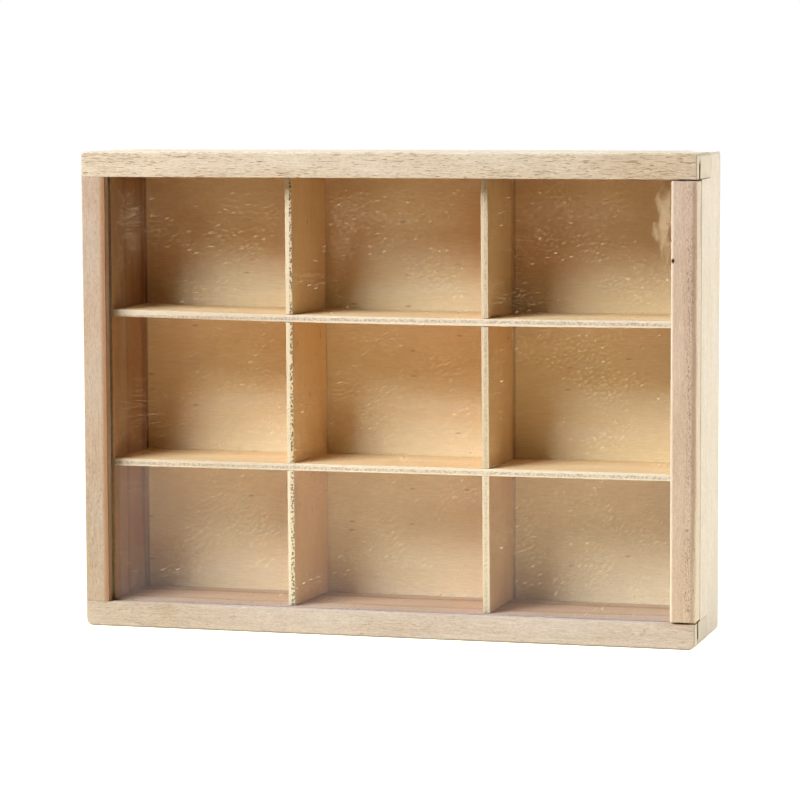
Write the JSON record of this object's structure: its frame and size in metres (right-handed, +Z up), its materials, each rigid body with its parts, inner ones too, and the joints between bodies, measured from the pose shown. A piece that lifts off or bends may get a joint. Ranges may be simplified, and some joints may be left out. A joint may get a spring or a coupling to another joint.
{
  "type": "display case",
  "caption": "Shallow wooden display case with a grid of small compartments behind a clear cover that slides out sideways in grooves.",
  "frame": {"origin": "middle of the underside of the case, with the cover shut", "axes": "+X to the right, the way the cover slides out; +Y to the back; +Z up"},
  "size_m": [0.2, 0.04, 0.153],
  "materials": {
    "rail_wood": "bare sanded paulownia, pale beige with short dark pore lines",
    "left_side_wood": "bare sanded paulownia, greyer, with upright grain",
    "right_side_wood": "bare sanded paulownia, very pale cream",
    "back_plywood": "bare rotary-cut plywood, pale tan with faint level grain",
    "shelf_plywood": "bare thin plywood, pale cream with sawn edges",
    "clear_acrylic": "clear acrylic sheet, slightly dusty and scratched",
    "batten_wood": "bare sanded paulownia, greyer, with upright grain"
  },
  "bodies": {
    "case": {"top_board": "rail_wood", "bottom_board": "rail_wood", "left_side_board": "left_side_wood", "right_side_board": "right_side_wood", "back_panel": "back_plywood", "upper_shelf": "shelf_plywood", "lower_shelf": "shelf_plywood", "left_divider": "shelf_plywood", "right_divider": "shelf_plywood"},
    "cover": {"cover_pane": "clear_acrylic", "cover_batten": "batten_wood"}
  },
  "joints": [
    {"name": "cover_slide", "type": "slide", "parent": "case", "child": "cover", "axis": [1, 0, 0], "range_m": [0, 0.2]}
  ]
}
